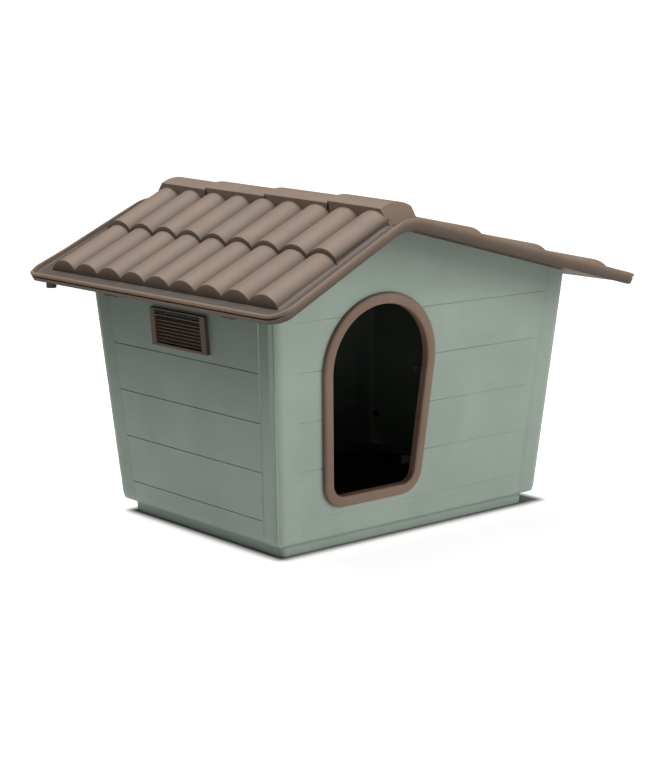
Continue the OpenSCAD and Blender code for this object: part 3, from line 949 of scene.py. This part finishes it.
# one row of tiles, from its upper end to its lower end
def tileRow(bm, upper, lower, heights, lap, last):
    pitch = tiles["pitch"]
    rise = tiles["rise"]
    run = 1 if lower > upper else -1
    radius = ((pitch / 2) ** 2 + rise ** 2) / (2 * rise)
    sweep = 2 * math.asin(pitch / 2 / radius)
    half = tiles["columns"] * pitch / 2
    upperZ = sharpRim(upper) + heights[0]
    lowerZ = sharpRim(lower) + heights[1]
    slope = (lowerZ - upperZ) / (lower - upper)
    start = upper - run * lap
    startZ = upperZ + slope * (start - upper)
    row = bmesh.new()
    shade = row.verts.layers.float.new("shade")
    first = row.verts.new((start, -half, startZ))
    bmesh.ops.spin(
        row, geom=[first], cent=(start, pitch / 2 - half, startZ + rise - radius), axis=(1, 0, 0),
        angle=-sweep, steps=tiles["arcSteps"], dvec=(0, 0, 0),
    )
    # paints shade, darkest in each tile's valleys
    for v in row.verts:
        v[shade] = tiles["valleyShade"] * (1 - (v.co.z - startZ) / rise) ** 2
    arc = row.verts[:] + row.edges[:]
    for column in range(1, tiles["columns"]):
        made = bmesh.ops.duplicate(row, geom=arc)["geom"]
        copies = vertsIn(made)
        bmesh.ops.translate(row, verts=copies, vec=(0, column * pitch, 0))
    bmesh.ops.remove_doubles(row, verts=row.verts, dist=0.01)
    made = bmesh.ops.extrude_edge_only(row, edges=row.edges[:])["geom"]
    end = vertsIn(made)
    bmesh.ops.translate(row, verts=end, vec=(lower - start, 0, lowerZ - startZ))
    front = edgesBetween(made, end)
    made = bmesh.ops.extrude_edge_only(row, edges=front)["geom"]
    foot = vertsIn(made)
    # paints the risers in full shade
    for v in foot:
        v[shade] = 1
    if last:
        for v in foot:
            v.co.z = rim(v.co.x) - pan["floorDrop"] - tiles["footSunk"]
        bmesh.ops.translate(row, verts=foot, vec=(run * tiles["footSlope"], 0, 0))
    else:
        bmesh.ops.translate(row, verts=foot, vec=(run * tiles["riserSlope"], 0, -tiles["riser"]))
    nextToRidge = abs(upper - roofLine["ridgeX"]) < tiles["pitch"]
    if nextToRidge:
        for share in (0.25, 0.5, 0.75, 1):
            x = roofLine["ridgeX"] + run * roofLine["ridgeRound"] * share
            if (x - start) * run > 0.5:
                cut(row, (x, 0, 0), (1, 0, 0))
    addFlanks(row, half)
    addPart(bm, row)


# lets the outer edges of a row fall into the channel in a soft curve
def addFlanks(row, half):
    fall = row.verts.layers.float_vector.new("fall")
    for side in (-1, 1):
        edges = [e for e in row.edges if all(abs(v.co.y - side * half) < 0.01 for v in e.verts)]
        for v in {w for e in edges for w in e.verts}:
            low = min(v.co.z, rim(v.co.x) - pan["floorDrop"] + 0.05)
            v[fall] = (v.co.z, low, 0)
        previous = 0
        for out, share in tiles["flank"]:
            made = bmesh.ops.extrude_edge_only(row, edges=edges)["geom"]
            verts = vertsIn(made)
            for v in verts:
                top, low = v[fall].xy
                v.co.z = top + (low - top) * share
                v.co.y += side * (out - previous)
            previous = out
            edges = edgesBetween(made, verts)


def tileField(name, ends, heights):
    bm = bmesh.new()
    for row in range(len(heights)):
        lap = tiles["lap"] if row else tiles["topLap"]
        tileRow(bm, ends[row], ends[row + 1], heights[row], lap, row == len(heights) - 1)
    bm.normal_update()
    for f in bm.faces:
        if f.normal.z < -0.01:
            f.normal_flip()
    piece = newObject(bm, name)
    finishPiece(piece, "roof", clayRoof, sharp=40,
                thickness=tiles["thickness"], bevel=tiles["edge"])


def ridgeTiles():
    bm = bmesh.new()
    joints = ridge["joints"]
    half = ridge["half"]
    radius = (half ** 2 + ridge["crown"] ** 2) / (2 * ridge["crown"])
    sweep = 2 * math.asin(half / radius)
    for number in range(len(joints) - 1):
        front = joints[number] - (ridge["lap"] if number else 0)
        back = joints[number + 1]
        cap = bmesh.new()
        first = cap.verts.new((ridge["x"] - half, front, ridge["sideZ"]))
        bmesh.ops.spin(
            cap, geom=[first], cent=(ridge["x"], front, ridge["sideZ"] + ridge["crown"] - radius),
            axis=(0, 1, 0), angle=sweep, steps=ridge["steps"], dvec=(0, 0, 0),
        )
        made = bmesh.ops.extrude_edge_only(cap, edges=cap.edges[:])["geom"]
        end = vertsIn(made)
        bmesh.ops.translate(cap, verts=end, vec=(0, back - front, ridge["rise"]))
        border = [e for e in cap.edges if e.is_boundary]
        made = bmesh.ops.extrude_edge_only(cap, edges=border)["geom"]
        foot = vertsIn(made)
        for v in foot:
            v.co.z = rim(v.co.x) - pan["floorDrop"] + 0.1
            if number == 0 and v.co.y < front + 1:
                v.co.y -= ridge["draft"]
            if number == len(joints) - 2 and v.co.y > back - 1:
                v.co.y += ridge["draft"]
        bmesh.ops.recalc_face_normals(cap, faces=cap.faces)
        turnOutwards(cap, Vector((ridge["x"], (front + back) / 2, ridge["insideZ"])))
        addPart(bm, cap)
    piece = newObject(bm, "ridgeTiles")
    finishPiece(piece, "roof", clayRoof, sharp=40, thickness=house["wall"],
                bevel=ridge["edge"], segments=3)


# short drain stub under a rear corner of the roof
spout = {
    "wall": 2.4,
    "edge": 0.6,
    "lift": 4.5,           # how much shorter it is than the space for it
    "topGap": 1,
    "draft": 0.05,
    "bevelTop": 0.4,
    "floor": 2,            # thickness left over its bore
}


def drainSpout(name, node):
    low, high = boxInMillimetres(node)
    radius = (high.x - low.x) / 2
    bm = bmesh.new()
    ring = bmesh.ops.create_circle(bm, cap_ends=True, radius=radius, segments=36)["verts"]
    top = high.z - spout["topGap"]
    bmesh.ops.translate(bm, verts=ring, vec=((low.x + high.x) / 2, (low.y + high.y) / 2, top))
    face = ring[0].link_faces[0]
    tall = top - low.z - spout["lift"]
    edge = spout["edge"]
    stack(bm, face, (
        (spout["draft"], -tall + edge), (edge, -edge), (spout["wall"] - edge, 0),
        (edge / 2, spout["bevelTop"]), (spout["draft"], tall - spout["floor"]),
    ))
    bmesh.ops.contextual_create(bm, geom=[e for e in bm.edges if e.is_boundary])
    bmesh.ops.recalc_face_normals(bm, faces=bm.faces)
    piece = newObject(bm, name)
    finishPiece(piece, "roof", umberFixing, [node], sharp=50)


frontPanel = gablePanel("frontPanel", -1, doorCutter())
finishPiece(frontPanel, "house", sageWall, ["front_panel"])
rearPanel = gablePanel("rearPanel", 1)
finishPiece(rearPanel, "house", sageWall, ["rear_panel"])
for side, turn in (("left", -90), ("right", 90)):
    sidePanel(side + "Panel", turn, boxInMillimetres(side + "_panel")[1].z, side + "_panel")
    ventGrille(side + "Vent", turn, side + "_vent_grille")
print("walls and vents made")
doorFrame()
baseTray()
print("door frame and base made")
roofPan()
tileField("leftTiles", tiles["leftEnds"], tiles["leftHeights"])
tileField("rightTiles", tiles["rightEnds"], tiles["rightHeights"])
ridgeTiles()
for side in ("left", "right"):
    drainSpout(side + "Spout", "drain_spout_" + side)
print("roof made")

carried = {
    "floor_board": umberFloor,
    "door_clamp_ring": umberRing,
    "left_vent_retainer": umberFixing,
    "right_vent_retainer": umberFixing,
    "corner_snaps": umberFixing,
    "base_snaps": umberFixing,
}
carried.update({node: umberFixing for node in lockNodes})
for node, material in carried.items():
    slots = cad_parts[node].material_slots
    for slot in slots:
        slot.material = material
print("fixings coloured")


stageValues = {
    "radius": 5,           # of the paper, in metres
    "screenRadius": 40,    # of the lit screen round it
    "screenHeight": 3,
    "paper": "#A8A8A6",
    "glow": 0.6,           # light of the paper, which is left out on one side of the kennel
    "glowSide": (-0.86, 0.51, 0),
    "glowFrom": 0.45,      # distances from the middle towards that side, in metres
    "glowTo": 0.95,
    "contactStart": 0.012, # how far inside the tray's outline the plinth's foot lies, in metres
    "contact": 0.022,      # width of the painted contact shadow on the paper along the plinth, in metres
    "contactShift": 0.012, # how much further the painted shadow reaches on the right
    "contactShadowPaper": "#6A6A68",
    "nearGlow": 0.25,      # extra light of the paper near the kennel, out to nearReach metres
    "nearReach": 0.3,
    "screenGlow": 1.1,
    "worldStrength": 0.05,
}


# two values from the distance to the plinth: a rise from 0 to 1 close to it, which paints the contact
# shadow, and the extra glow
def plinthShade(tree, place):
    half = ((trayHigh - trayLow) / 2 * millimetre).xy
    shift = stageValues["contactShift"]
    start = stageValues["contactStart"]
    steps = (
        ("SUBTRACT", (house["centreX"] * millimetre + shift, 0, 0)),
        ("ABSOLUTE", None),
        ("SUBTRACT", (half.x - start + shift, half.y - start, 0)),
        ("MAXIMUM", (0, 0, 0)),
    )
    reach = place.outputs["Object"]
    for operation, amount in steps:
        step = addNode(tree, "ShaderNodeVectorMath", {"operation": operation}, {0: reach})
        if amount:
            step.inputs[1].default_value = amount
        reach = step.outputs["Vector"]
    distance = addNode(tree, "ShaderNodeVectorMath", {"operation": "LENGTH"}, {0: reach})
    contactShadowFade = addNode(
        tree, "ShaderNodeMapRange",
        {"interpolation_type": "SMOOTHSTEP", "From Min": 0.0, "From Max": stageValues["contact"]},
        {"Value": distance.outputs["Value"]},
    )
    extra = addNode(
        tree, "ShaderNodeMapRange",
        {"interpolation_type": "SMOOTHSTEP", "From Min": 0.0, "From Max": stageValues["nearReach"],
         "To Min": stageValues["nearGlow"], "To Max": 0.0},
        {"Value": distance.outputs["Value"]},
    )
    return contactShadowFade, extra


def studioFloor():
    bm = bmesh.new()
    bmesh.ops.create_circle(bm, cap_ends=True, radius=stageValues["radius"], segments=96)
    growth = stageValues["screenRadius"] / stageValues["radius"]
    for scale, height in ((growth, 0), (1, stageValues["screenHeight"])):
        edges = [e for e in bm.edges if e.is_boundary]
        made = bmesh.ops.extrude_edge_only(bm, edges=edges)["geom"]
        outer = vertsIn(made)
        bmesh.ops.scale(bm, verts=outer, vec=(scale, scale, 1))
        bmesh.ops.translate(bm, verts=outer, vec=(0, 0, height))
    for face in bm.faces:
        face.material_index = 0 if face.calc_center_median().length < stageValues["radius"] / 2 else 1
    floor = newObject(bm, "studioFloor", 1)
    paper = bpy.data.materials.new("paper")
    paper.use_nodes = True
    tree = paper.node_tree
    tree.nodes.clear()
    place = addNode(tree, "ShaderNodeTexCoord")
    away = addNode(tree, "ShaderNodeVectorMath", {"operation": "DOT_PRODUCT"}, {0: place.outputs["Object"]})
    away.inputs[1].default_value = stageValues["glowSide"]
    glow = addNode(
        tree, "ShaderNodeMapRange",
        {"interpolation_type": "SMOOTHSTEP", "From Min": stageValues["glowFrom"],
         "From Max": stageValues["glowTo"], "To Min": stageValues["glow"], "To Max": 0.0},
        {"Value": away.outputs["Value"]},
    )
    contactShadowFade, extra = plinthShade(tree, place)
    full = addNode(
        tree, "ShaderNodeMath", {"operation": "ADD"},
        {0: glow.outputs["Result"], 1: extra.outputs["Result"]},
    )
    # paints a contact shadow along the plinth: near it the paper's glow fades out and its colour darkens
    lit = addNode(
        tree, "ShaderNodeMath", {"operation": "MULTIPLY"},
        {0: full.outputs["Value"], 1: contactShadowFade.outputs["Result"]},
    )
    paperWithShadow = addNode(tree, "ShaderNodeMix", {"data_type": "RGBA"}, {"Factor": contactShadowFade.outputs["Result"]})
    paperWithShadow.inputs[6].default_value = toLinear(stageValues["contactShadowPaper"])
    paperWithShadow.inputs[7].default_value = toLinear(stageValues["paper"])
    sheet = addNode(
        tree, "ShaderNodeBsdfPrincipled",
        {"Roughness": 0.9, "Specular IOR Level": 0.1, "Emission Color": (1, 1, 1, 1)},
        {"Base Color": paperWithShadow.outputs[2], "Emission Strength": lit.outputs["Value"]},
    )
    addNode(tree, "ShaderNodeOutputMaterial", {}, {"Surface": sheet.outputs["BSDF"]})
    screen = bpy.data.materials.new("screen")
    screen.use_nodes = True
    tree = screen.node_tree
    tree.nodes.clear()
    lit = addNode(tree, "ShaderNodeEmission", {"Strength": stageValues["screenGlow"]})
    addNode(tree, "ShaderNodeOutputMaterial", {}, {"Surface": lit.outputs["Emission"]})
    floor.data.materials.append(paper)
    floor.data.materials.append(screen)


lights = {
    "overhead": {"strength": 5.2, "spread": 50, "from": (0.0, 0.3, 1)},
    "fill": {"strength": 2.5, "spread": 40, "from": (0.45, -0.8, 0.3)},
}


def sunLight(name, values):
    data = bpy.data.lights.new(name, "SUN")
    data.energy = values["strength"]
    data.angle = math.radians(values["spread"])
    lamp = bpy.data.objects.new(name, data)
    lamp.rotation_euler = Vector(values["from"]).to_track_quat("Z", "Y").to_euler()
    bpy.context.scene.collection.objects.link(lamp)


view = {
    "place": (-1.53475, -1.7856, 0.6083),
    "heading": 40.75,      # degrees from +Y towards +X
    "tilt": 11.05,         # degrees downwards
    "lens": 86.68,
    "sensor": 36,
    "farthest": 200,
}


def studioCamera():
    data = bpy.data.cameras.new("camera")
    data.lens = view["lens"]
    data.sensor_width = view["sensor"]
    data.clip_end = view["farthest"]
    camera = bpy.data.objects.new("camera", data)
    camera.location = view["place"]
    camera.rotation_euler = (
        math.radians(90 - view["tilt"]), 0, -math.radians(view["heading"])
    )
    bpy.context.scene.collection.objects.link(camera)
    bpy.context.scene.camera = camera


studioFloor()
for name, values in lights.items():
    sunLight(name, values)
world = bpy.data.worlds.new("studio")
world.use_nodes = True
world.node_tree.nodes["Background"].inputs["Color"].default_value = (1, 1, 1, 1)
world.node_tree.nodes["Background"].inputs["Strength"].default_value = stageValues["worldStrength"]
bpy.context.scene.world = world
bpy.context.scene.view_settings.view_transform = "Standard"
studioCamera()
print("studio made")
